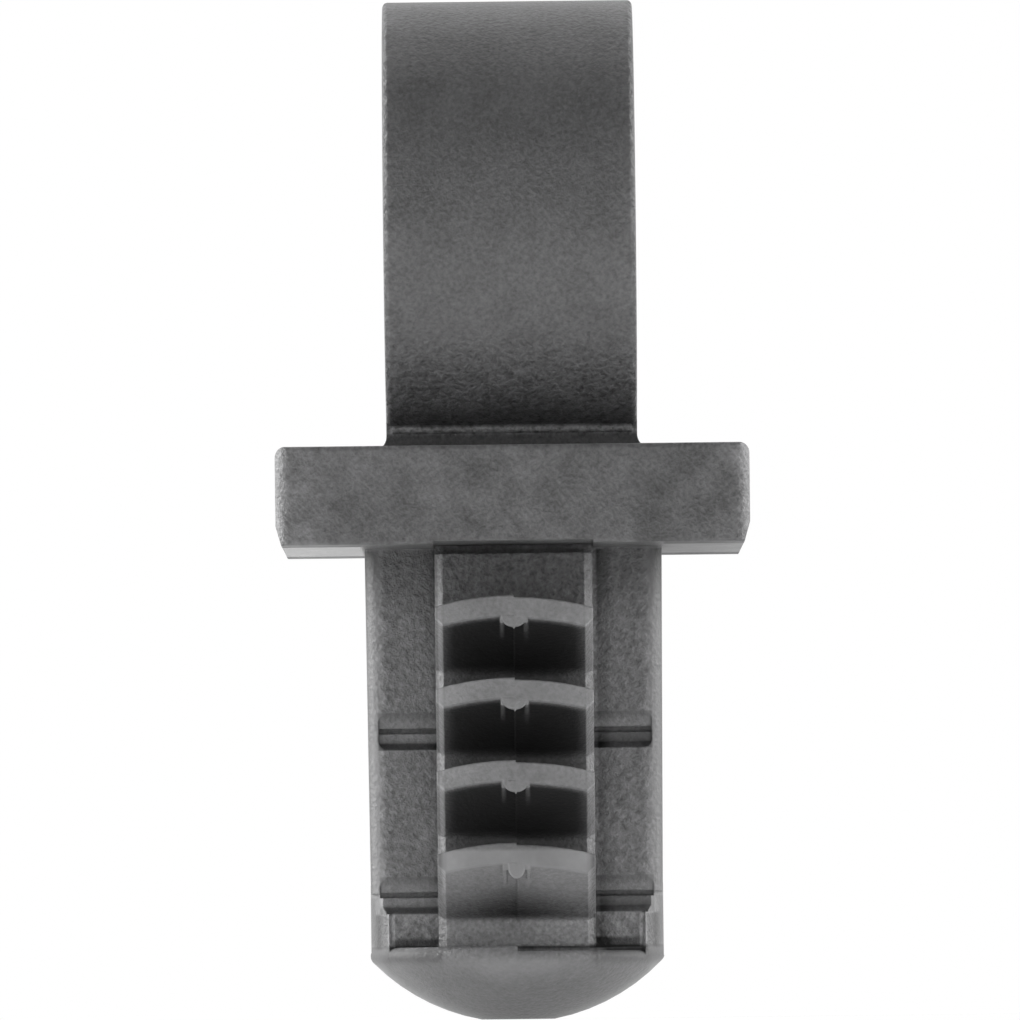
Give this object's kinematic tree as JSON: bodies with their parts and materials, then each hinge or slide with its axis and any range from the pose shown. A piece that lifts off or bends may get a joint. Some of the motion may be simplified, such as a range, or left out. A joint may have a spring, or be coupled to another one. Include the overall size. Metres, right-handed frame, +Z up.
{
  "type": "cable clip",
  "caption": "Moulded push-in cable clip: an open ring that snaps over a cable, a flat flange, and a plug with sloping fins that grips a round panel hole.",
  "frame": {"origin": "on the plug's axis, at the level of the flange's seat, which is its underside", "axes": "+Z up from the seat through the ring, +X along the cable, +Y to the back, where the ring's mouth opens"},
  "size_m": [0.0098, 0.0092, 0.0215],
  "materials": {
    "moulded_nylon": "fine spark-eroded grain"
  },
  "bodies": {
    "root": {"cable_clip": "moulded_nylon"}
  },
  "joints": []
}
